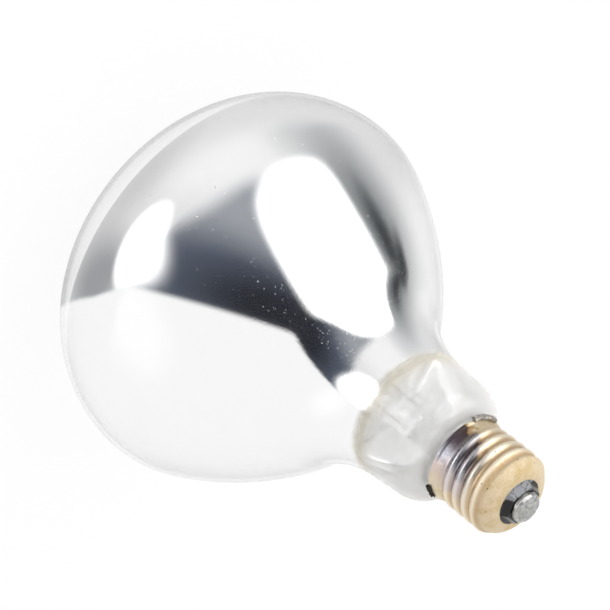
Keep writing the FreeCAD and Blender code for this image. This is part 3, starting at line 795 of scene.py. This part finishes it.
def coil_tree(material):
    """Wire wound in a helix along a path."""
    tree, given = tree_with_inputs("wound_coil", "Radius", "Wire Radius", "Pitch", "Step", "Bend")
    path = add(tree, "GeometryNodeMeshToCurve", {"Mesh": given["Geometry"]})
    eased = add(tree, "GeometryNodeFilletCurve", {
        "Curve": path.outputs["Curve"], "Radius": given["Bend"], "Limit Radius": True, "Count": 8},
        mode="POLY")
    fine = add(tree, "GeometryNodeResampleCurve", {
        "Curve": eased.outputs["Curve"], "Length": given["Step"]}, mode="LENGTH")
    run = add(tree, "GeometryNodeSplineParameter").outputs["Length"]
    turns = add(tree, "ShaderNodeMath", {0: run, 1: given["Pitch"]}, operation="DIVIDE")
    turn = add(tree, "ShaderNodeMath", {0: turns.outputs[0], 1: 2 * math.pi}, operation="MULTIPLY")
    spoke = add(tree, "ShaderNodeVectorRotate", {
        "Vector": add(tree, "GeometryNodeInputNormal").outputs["Normal"],
        "Axis": add(tree, "GeometryNodeInputTangent").outputs["Tangent"],
        "Angle": turn.outputs[0]}, rotation_type="AXIS_ANGLE")
    reach = add(tree, "ShaderNodeVectorMath", {
        0: spoke.outputs["Vector"], "Scale": given["Radius"]}, operation="SCALE")
    wound = add(tree, "GeometryNodeSetPosition", {
        "Geometry": fine.outputs["Curve"], "Offset": reach.outputs["Vector"]})
    section = add(tree, "GeometryNodeCurvePrimitiveCircle", {
        "Resolution": 6, "Radius": given["Wire Radius"]})
    solid = add(tree, "GeometryNodeCurveToMesh", {
        "Curve": wound.outputs["Geometry"], "Profile Curve": section.outputs["Curve"], "Fill Caps": True})
    smooth = add(tree, "GeometryNodeSetShadeSmooth", {"Geometry": solid.outputs["Mesh"]})
    end_tree(tree, smooth.outputs["Geometry"], material)
    return tree


def path_mesh(points):
    """Chain of edges through points."""
    mesh = bpy.data.meshes.new("path")
    mesh.from_pydata(points, [(step, step + 1) for step in range(len(points) - 1)], [])
    return mesh


# Pieces

class HEATLAMP_OT_bulb(Operator):
    """Blown glass bulb with a clear face and neck"""
    bl_idname = "heat_lamp.bulb"
    bl_label = "Bulb"

    def execute(self, context):
        outer = bulb_outline(0.0)
        inner = bulb_outline(sizes().bulb.wall)
        mesh = turned("glass_bulb", outer + inner[::-1], closed=False)
        piece("glass_bulb", mesh, bulb_glass(), "clear_glass", "glass_envelope")
        return {"FINISHED"}


class HEATLAMP_OT_film(Operator):
    """Mirror film inside the bulb"""
    bl_idname = "heat_lamp.film"
    bl_label = "Mirror film"

    def execute(self, context):
        size = sizes().bulb
        inset = size.wall + size.film_gap
        low = size.film_face_edge
        high = size.film_neck_edge + FRAY
        outer = between_heights(bulb_outline(inset), low, high)
        inner = between_heights(bulb_outline(inset + size.film_thickness), low, high)
        mesh = turned("mirror_film", outer + inner[::-1])
        piece("mirror_film", mesh, mirror_film(), "mirror_film", "reflector_film")
        return {"FINISHED"}


class HEATLAMP_OT_cap(Operator):
    """Brass screw shell with its rolled thread"""
    bl_idname = "heat_lamp.cap"
    bl_label = "Screw shell"

    def execute(self, context):
        cap = sizes().cap
        rim = rim_height()
        foot = rim + cap.skirt
        middle = (cap.crest + cap.root) / 4
        bore = cap.root / 2 - cap.sheet
        mouth = cap.mouth / 2
        head = rim + cap.height - (middle - mouth)
        lip = middle + cap.flare
        lip_edge = 0.35 * MM
        lip_ease = 0.1 * MM
        lip_blend = 0.3 * MM
        levels = 110
        dome_turns = [math.radians(turn) for turn in range(1, 91)]
        lining_turns = [math.radians(turn) for turn in range(90, 0, -5)]
        centre = Vector((mouth, head))
        outer = [
            (cap.rim / 2, rim),
            (cap.rim / 2, rim + lip_edge),
            (lip + lip_ease, rim + cap.lip),
            (lip, rim + cap.lip + lip_blend),
        ]
        outer += [(middle, foot + (head - foot) * level / levels) for level in range(levels + 1)]
        outer += [centre + heading(turn) * (middle - mouth) for turn in dome_turns]
        inner = [centre + heading(turn) * (bore - mouth) for turn in lining_turns]
        inner += [
            (bore, head),
            (bore, foot),
            (lip - cap.sheet, rim + cap.lip),
            (cap.rim / 2 - cap.sheet, rim),
        ]
        plain = turned("screw_shell_blank", outer + inner, sharp=50.0)
        brass = heat_tinted_brass()
        mesh = shaped_by(
            plain, thread_tree(brass), pitch=cap.pitch, swing=(cap.crest - cap.root) / 4,
            start=rim + cap.crest_height, foot=foot, head=rim + cap.thread_top, runout=cap.runout,
            skin=float(len(outer) * AROUND))
        piece("brass_screw_shell", mesh, brass, "cap_brass", "screw_shell")
        return {"FINISHED"}


class HEATLAMP_OT_contact(Operator):
    """Black glass insulator and solder of the centre contact"""
    bl_idname = "heat_lamp.contact"
    bl_label = "Insulator and contact"

    def execute(self, context):
        finish = sizes().finish
        boss = softened("insulator", width=0.12 * MM)
        piece("black_glass_insulator", boss, black_glass(), "black_glass", "insulator")

        # Cast tin-lead solder, dull grey with a frosty mottle
        solder = mottled("dull_tin_lead_solder", finish.solder, grit=0.9 * MM, polish=(0.3, 0.5),
                         relief=0.7, darkest=0.5)
        button = lumpy("contact_solder", voxel=0.15 * MM, lump=2.4 * MM, depth=0.2 * MM)
        piece("contact_button", button, solder, "solder", "contact_solder")

        # Solder that was overheated, browner and crusted
        scorched = mottled("scorched_solder", finish.scorched_solder, grit=0.9 * MM, polish=(0.3, 0.55),
                           relief=0.8, darkest=0.45)
        joint = lumpy("rim_solder", voxel=0.1 * MM, lump=1.6 * MM, depth=0.45 * MM, rounding=16)
        piece("rim_joint", joint, scorched, "solder", "rim_solder")

        # Stamped brass, plain and satin
        plate = mottled("pressed_brass_plate", finish.brass, grit=0.5 * MM, polish=(0.3, 0.5), relief=0.2)
        eyelet = softened("contact_plate", width=0.05 * MM)
        piece("contact_eyelet", eyelet, plate, "cap_brass", "contact_plate")
        return {"FINISHED"}


class HEATLAMP_OT_cement(Operator):
    """Basing cement and its bead, scorched and nearly black, the black partly painted shade"""
    bl_idname = "heat_lamp.cement"
    bl_label = "Cement"

    def execute(self, context):
        finish = sizes().finish

        # Baked filler, matt and buff like plaster
        baked = mottled("baked_basing_cement", finish.cement, grit=0.6 * MM, polish=(0.8, 0.95),
                        relief=0.6, metallic=0.0)
        ring = softened("cement_ring", width=0.1 * MM)
        piece("basing_cement", ring, baked, "basing_cement", "cement_ring")

        # Cement that was burnt where it ran out, nearly black; the black is also painted shade in the gap
        # under the rim
        charred_and_shaded = mottled("scorched_cement", finish.charred_and_shaded, grit=0.5 * MM, polish=(0.6, 0.9),
                        relief=0.8, metallic=0.0)
        bead = lumpy("cement_bead", voxel=0.08 * MM, lump=0.9 * MM, depth=0.5 * MM, rounding=12)
        piece("scorched_bead", bead, charred_and_shaded, "scorched_cement", "cement_bead")
        return {"FINISHED"}


class HEATLAMP_OT_stem(Operator):
    """Glass stem with its press, exhaust tube and arbor"""
    bl_idname = "heat_lamp.stem"
    bl_label = "Stem"

    def execute(self, context):
        glass = stem_glass()
        piece("stem", softened("glass_stem", width=0.2 * MM), glass, "stem_glass", "glass_stem")
        piece("exhaust_tip", softened("exhaust_tube", width=0.1 * MM), glass, "stem_glass", "exhaust_tube")
        piece("arbor", softened("stem_arbor", width=0.3 * MM), glass, "stem_glass", "stem_arbor")
        return {"FINISHED"}


class HEATLAMP_OT_wires(Operator):
    """Leads, coil and supports"""
    bl_idname = "heat_lamp.wires"
    bl_label = "Wires"

    def execute(self, context):
        finish = sizes().finish
        size = sizes().mount

        # Drawn wires: smooth with a soft sheen, nickel pale, copper browned, tungsten dark grey
        nickel = mottled("drawn_nickel_wire", finish.nickel, grit=0.3 * MM, polish=(0.25, 0.45), relief=0.1)
        copper = mottled("drawn_copper_wire", finish.copper, grit=0.3 * MM, polish=(0.3, 0.5), relief=0.1)
        tungsten = mottled("drawn_tungsten_wire", finish.tungsten, grit=0.1 * MM, polish=(0.35, 0.5),
                           relief=0.1)
        wire = wire_tree(nickel)
        copper_wire = wire_tree(copper)
        bend = size.bend_radius
        for name, points in inner_lead_paths().items():
            mesh = shaped_by(path_mesh(points), wire, radius=size.inner_lead / 2, bend=bend)
            piece(name + "_wire", mesh, None, "nickel_wire", name)
        for number, points in enumerate(hook_paths(), 1):
            mesh = shaped_by(path_mesh(points), wire, radius=size.hook / 2, bend=bend)
            piece("hook_wire_%d" % number, mesh, None, "nickel_wire", "support_hook_%d" % number)
        for name, points in outer_lead_paths().items():
            mesh = shaped_by(path_mesh(points), copper_wire, radius=size.outer_lead / 2, bend=bend)
            piece(name + "_wire", mesh, None, "copper_wire", name)
        mesh = shaped_by(
            path_mesh(coil_path()), coil_tree(tungsten), radius=(size.coil - size.coil_wire) / 2,
            wire_radius=size.coil_wire / 2, pitch=size.coil_pitch, step=size.coil_pitch / COIL_STEPS,
            bend=bend)
        piece("coiled_filament", mesh, None, "tungsten", "filament")
        return {"FINISHED"}


def press_weld():
    """Height in the press where inner and outer leads are welded."""
    size = sizes().mount
    return rim_height() - size.press_drop + size.press_height / 2


def coil_end(side):
    """Turn of the coil's end on one side of the open stretch."""
    size = sizes().mount
    return size.coil_gap_turn - side * size.coil_gap / 2


def inner_lead_paths():
    """Leads from the press to the ends of the coil."""
    size = sizes().mount
    paths = {}
    for name, side in (("inner_lead_left", -1), ("inner_lead_right", 1)):
        foot = polar(size.coil_ring, coil_end(side), size.coil_height + size.coil / 2 + size.bond)
        offset = side * size.lead_spacing / 2
        paths[name] = [
            Vector((offset, 0, press_weld())),
            Vector((offset, 0, size.coil_height + size.knee)),
            foot + Vector((0, 0, size.foot)),
            foot,
        ]
    return paths


def outer_lead_paths():
    """Leads from the press to the rim solder and to the centre contact."""
    size = sizes().mount
    rim = rim_height()
    offset = size.lead_spacing / 2
    gap = (sizes().bulb.throat / 2 + sizes().cap.root / 2 - sizes().cap.sheet) / 2
    crossing = neck_end() + size.crossing
    bend = rim + size.contact_bend
    lead_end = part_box("contact_lead")[1][2]
    return {
        "rim_lead": [
            Vector((-offset, 0, press_weld())),
            Vector((-offset, 0, crossing)),
            polar(gap, size.rim_solder_turn, crossing),
            polar(gap, size.rim_solder_turn, rim),
        ],
        "contact_lead": [
            Vector((offset, 0, press_weld())),
            Vector((offset, 0, bend)),
            Vector((0, 0, bend + size.contact_slant)),
            Vector((0, 0, lead_end)),
        ],
    }


def hook_turns():
    """Turns of the hooks round the axis, and the angle between them."""
    size = sizes().mount
    span = (2 * math.pi - size.coil_gap) / (size.coil_hooks + 1)
    return [coil_end(-1) + span * (hook + 1) for hook in range(size.coil_hooks)], span


def coil_path():
    """Straight runs of the coil from hook to hook."""
    size = sizes().mount
    turns, span = hook_turns()
    points = [polar(size.coil_ring, turn, size.coil_height)
              for turn in [turns[0] - span] + turns + [turns[-1] + span]]
    for end, inner in ((0, 1), (-1, -2)):
        points[end] = points[end] + (points[end] - points[inner]).normalized() * size.coil_tail
    return points


def hook_paths():
    """Hooks from the arbor's button down to the coil and under it."""
    size = sizes().mount
    turns, span = hook_turns()
    button = size.coil_height + size.arbor_rise
    reach = (size.coil + size.hook) / 2
    drop = size.coil_height - reach - size.bond
    inner_side = size.coil_ring - reach / math.cos(span / 2) - size.bond
    return [[
        polar(size.arbor_button / 2, turn, button),
        polar(inner_side, turn, button),
        polar(inner_side, turn, drop),
        polar(size.coil_ring + size.hook_reach, turn, drop),
    ] for turn in turns]


class HEATLAMP_OT_stage(Operator):
    """Floor, surroundings and camera"""
    bl_idname = "heat_lamp.stage"
    bl_label = "Stage"

    def execute(self, context):
        scene = context.scene
        scene.view_settings.view_transform = "Standard"
        camera = make_camera(scene)
        make_floor(scene)
        make_surroundings(scene, camera)
        return {"FINISHED"}


def make_camera(scene):
    stage = sizes().stage
    data = bpy.data.cameras.new("camera")
    data.sensor_fit = "HORIZONTAL"
    data.sensor_width = 36.0
    data.lens = stage.lens
    data.clip_start = 0.01
    data.clip_end = 50.0
    camera = bpy.data.objects.new("camera", data)
    camera.location = stage.camera_place
    camera.rotation_euler = stage.camera_turn
    scene.collection.objects.link(camera)
    scene.camera = camera
    return camera


def make_floor(scene):
    """Seamless white paper. It keeps the lamp's shadow, and lets reflections see the surroundings."""
    stage = sizes().stage
    half = stage.floor_size / 2
    mesh = bpy.data.meshes.new("floor")
    corners = [(-half, -half, 0), (half, -half, 0), (half, half, 0), (-half, half, 0)]
    mesh.from_pydata(corners, [], [(0, 1, 2, 3)])
    material, tree = new_material("white_seamless_paper")
    path = add(tree, "ShaderNodeLightPath")
    paper = add(tree, "ShaderNodeBsdfDiffuse", {"Color": stage.floor_tone})
    white = add(tree, "ShaderNodeEmission", {"Color": linear("#ffffff"), "Strength": 1.0})
    seen = add(tree, "ShaderNodeMath", {
        0: path.outputs["Is Camera Ray"], 1: path.outputs["Is Transmission Ray"]}, operation="MAXIMUM")
    share = add(tree, "ShaderNodeMath", {0: seen.outputs["Value"], 1: stage.floor_white},
                operation="MULTIPLY")
    lit = add(tree, "ShaderNodeMixShader", {
        0: share.outputs["Value"], 1: paper.outputs["BSDF"], 2: white.outputs["Emission"]})
    open_floor = add(tree, "ShaderNodeBsdfTransparent")
    mirrored = add(tree, "ShaderNodeMath", {0: path.outputs["Glossy Depth"], 1: 0.5},
                   operation="GREATER_THAN")
    surface = add(tree, "ShaderNodeMixShader", {
        0: mirrored.outputs["Value"], 1: lit.outputs["Shader"], 2: open_floor.outputs["BSDF"]})
    add(tree, "ShaderNodeOutputMaterial", {"Surface": surface.outputs["Shader"]})
    mesh.materials.append(material)
    floor = bpy.data.objects.new("floor", mesh)
    scene.collection.objects.link(floor)


def make_surroundings(scene, camera):
    """White studio with two soft boxes, charted as a mirror ball shows it to the camera."""
    stage = sizes().stage
    turn = camera.rotation_euler.to_matrix()
    right, up, back = (turn @ Vector(axis) for axis in ((1, 0, 0), (0, 1, 0), (0, 0, 1)))
    world = bpy.data.worlds.new("studio")
    world.use_nodes = True
    scene.world = world
    tree = world.node_tree
    tree.nodes.clear()
    towards = add(tree, "ShaderNodeTexCoord").outputs["Generated"]
    half = add(tree, "ShaderNodeVectorMath", {0: towards, 1: back}, operation="ADD")
    facing = add(tree, "ShaderNodeVectorMath", {0: half.outputs["Vector"]}, operation="NORMALIZE")
    across = add(tree, "ShaderNodeVectorMath", {0: facing.outputs["Vector"], 1: right},
                 operation="DOT_PRODUCT")
    upward = add(tree, "ShaderNodeVectorMath", {0: facing.outputs["Vector"], 1: up},
                 operation="DOT_PRODUCT")
    chart = add(tree, "ShaderNodeCombineXYZ", {
        "X": across.outputs["Value"], "Y": upward.outputs["Value"]}).outputs["Vector"]

    def patch(below, tone, centre, reach, soft, tilt=0.0, strength=1.0, cuts=()):
        """Lay an oval of a tone over what is below. A cut ends it at a line: two slopes, limit, blur."""
        local = add(tree, "ShaderNodeMapping", {
            "Vector": chart, "Location": (centre[0], centre[1], 0), "Rotation": (0, 0, math.radians(tilt)),
            "Scale": (reach[0], reach[1], 1)}, vector_type="TEXTURE")
        distance = add(tree, "ShaderNodeVectorMath", {0: local.outputs["Vector"]}, operation="LENGTH")
        cover = add(tree, "ShaderNodeMapRange", {
            "Value": distance.outputs["Value"], "From Min": 1 - soft, "From Max": 1 + soft,
            "To Min": 1.0, "To Max": 0.0}, interpolation_type="SMOOTHSTEP").outputs["Result"]
        for slope_x, slope_y, limit, blur in cuts:
            along = add(tree, "ShaderNodeVectorMath", {0: chart, 1: (slope_x, slope_y, 0)},
                        operation="DOT_PRODUCT")
            kept = add(tree, "ShaderNodeMapRange", {
                "Value": along.outputs["Value"], "From Min": limit - blur, "From Max": limit + blur,
                "To Min": 1.0, "To Max": 0.0}, interpolation_type="SMOOTHSTEP")
            cover = add(tree, "ShaderNodeMath", {0: cover, 1: kept.outputs["Result"]},
                        operation="MULTIPLY").outputs["Value"]
        lit = [part * strength for part in linear(tone)[:3]] + [1.0]
        mix = add(tree, "ShaderNodeMix", {0: cover, 6: below, 7: lit}, data_type="RGBA")
        return mix.outputs[2]

    # Pale walls and ceiling
    room = patch(linear("#e8e8e9"), "#fbfbfb", centre=(-0.02, 0.5), reach=(0.32, 0.2), soft=0.7)
    room = patch(room, "#ffffff", centre=(1.0, 0.3), reach=(0.22, 0.8), soft=0.5, tilt=-15)
    room = patch(room, "#d4d4d5", centre=(-0.66, 0.5), reach=(0.45, 0.13), soft=0.8, tilt=50)
    room = patch(room, "#a1a2a5", centre=(-0.72, 0.05), reach=(0.2, 0.22), soft=0.7)

    # Dim end of the room between the soft boxes, cut off by the edge of the ceiling
    ceiling_edge = [(-0.616, 0.787, 0.25, 0.035)]
    room = patch(room, "#a0a4aa", centre=(0.05, 0.0), reach=(0.55, 0.42), soft=0.15, cuts=ceiling_edge)
    room = patch(room, "#555c6a", centre=(-0.08, -0.12), reach=(0.45, 0.3), soft=0.35, cuts=ceiling_edge)
    room = patch(room, "#2b2d34", centre=(0.08, -0.07), reach=(0.26, 0.14), soft=0.7)

    # Dark stands beyond the large soft box
    room = patch(room, "#cfd0d1", centre=(0.42, 0.58), reach=(0.2, 0.1), soft=0.9, tilt=-25)
    room = patch(room, "#868a8c", centre=(0.63, 0.37), reach=(0.25, 0.1), soft=0.8, tilt=-50)
    room = patch(room, "#45484a", centre=(0.68, 0.32), reach=(0.15, 0.03), soft=0.8, tilt=-55)
    room = patch(room, "#3e4143", centre=(0.76, 0.25), reach=(0.09, 0.02), soft=0.8, tilt=-72)

    # Large and small soft box
    large_edges = [(0.79, 0.61, 0.655, 0.035), (-0.954, -0.298, -0.197, 0.045)]
    small_edges = [(1.0, 0.0, -0.223, 0.07), (0.932, -0.363, -0.253, 0.07)]
    room = patch(room, "#ffffff", centre=(0.42, 0.2), reach=(0.313, 0.308), soft=0.14,
                 strength=stage.softbox, cuts=large_edges)
    room = patch(room, "#ffffff", centre=(-0.4, 0.125), reach=(0.169, 0.197), soft=0.4, tilt=-4,
                 strength=stage.softbox, cuts=small_edges)

    # White table, which ends at two edges that meet in a corner
    front_slope = (0.083, 1.0, 0.0)
    side_slope = (0.2, 1.0, 0.0)
    side_rise = 0.045
    table_edge = -0.131
    table_blur = 0.012
    front = add(tree, "ShaderNodeVectorMath", {0: chart, 1: front_slope}, operation="DOT_PRODUCT")
    side = add(tree, "ShaderNodeVectorMath", {0: chart, 1: side_slope}, operation="DOT_PRODUCT")
    side_level = add(tree, "ShaderNodeMath", {0: side.outputs["Value"], 1: side_rise}, operation="ADD")
    level = add(tree, "ShaderNodeMath", {0: front.outputs["Value"], 1: side_level.outputs["Value"]},
                operation="MINIMUM")
    table = add(tree, "ShaderNodeMapRange", {
        "Value": level.outputs["Value"], "From Min": table_edge - table_blur,
        "From Max": table_edge + table_blur, "To Min": 1.0, "To Max": 0.0})
    table_top = patch(linear("#ffffff"), "#ffffff", centre=(-0.4, -0.26), reach=(0.085, 0.2), soft=0.6,
                      strength=1.07)
    room = add(tree, "ShaderNodeMix", {
        0: table.outputs["Result"], 6: room, 7: table_top}, data_type="RGBA").outputs[2]

    # The camera itself sees plain white
    path = add(tree, "ShaderNodeLightPath")
    shown = add(tree, "ShaderNodeMix", {
        0: path.outputs["Is Camera Ray"], 6: room, 7: linear("#ffffff")}, data_type="RGBA").outputs[2]
    light = add(tree, "ShaderNodeBackground", {"Color": shown, "Strength": 1.0})
    add(tree, "ShaderNodeOutputWorld", {"Surface": light.outputs["Background"]})


# Registration and the run

class HeatLampSettings(PropertyGroup):
    """All settings of the lamp and its stage."""

    bulb: PointerProperty(type=BulbSizes)
    cap: PointerProperty(type=CapSizes)
    mount: PointerProperty(type=MountSizes)
    finish: PointerProperty(type=Finishes)
    stage: PointerProperty(type=StageSettings)


PIECES = (
    HEATLAMP_OT_bulb, HEATLAMP_OT_film, HEATLAMP_OT_cap, HEATLAMP_OT_contact, HEATLAMP_OT_cement,
    HEATLAMP_OT_stem, HEATLAMP_OT_wires, HEATLAMP_OT_stage,
)


class HEATLAMP_PT_sidebar(Panel):
    """Lists what the add-on builds and its settings"""
    bl_label = "Heat Lamp"
    bl_space_type = "VIEW_3D"
    bl_region_type = "UI"
    bl_category = "Heat Lamp"

    def draw(self, context):
        for operator in PIECES:
            self.layout.operator(operator.bl_idname)
        settings = context.scene.heat_lamp
        for group in (settings.bulb, settings.cap, settings.mount, settings.finish, settings.stage):
            box = self.layout.box()
            for name in group.bl_rna.properties.keys():
                if name not in ("rna_type", "name"):
                    box.prop(group, name)


CLASSES = (BulbSizes, CapSizes, MountSizes, Finishes, StageSettings, HeatLampSettings) + PIECES + (
    HEATLAMP_PT_sidebar,)


def register():
    for item in CLASSES:
        bpy.utils.register_class(item)
    bpy.types.Scene.heat_lamp = PointerProperty(type=HeatLampSettings)


def unregister():
    del bpy.types.Scene.heat_lamp
    for item in reversed(CLASSES):
        bpy.utils.unregister_class(item)


def main():
    register()
    bpy.ops.heat_lamp.bulb()
    bpy.ops.heat_lamp.film()
    bpy.ops.heat_lamp.cap()
    bpy.ops.heat_lamp.contact()
    bpy.ops.heat_lamp.cement()
    bpy.ops.heat_lamp.stem()
    bpy.ops.heat_lamp.wires()
    bpy.ops.heat_lamp.stage()


if __name__ == "__main__":
    main()
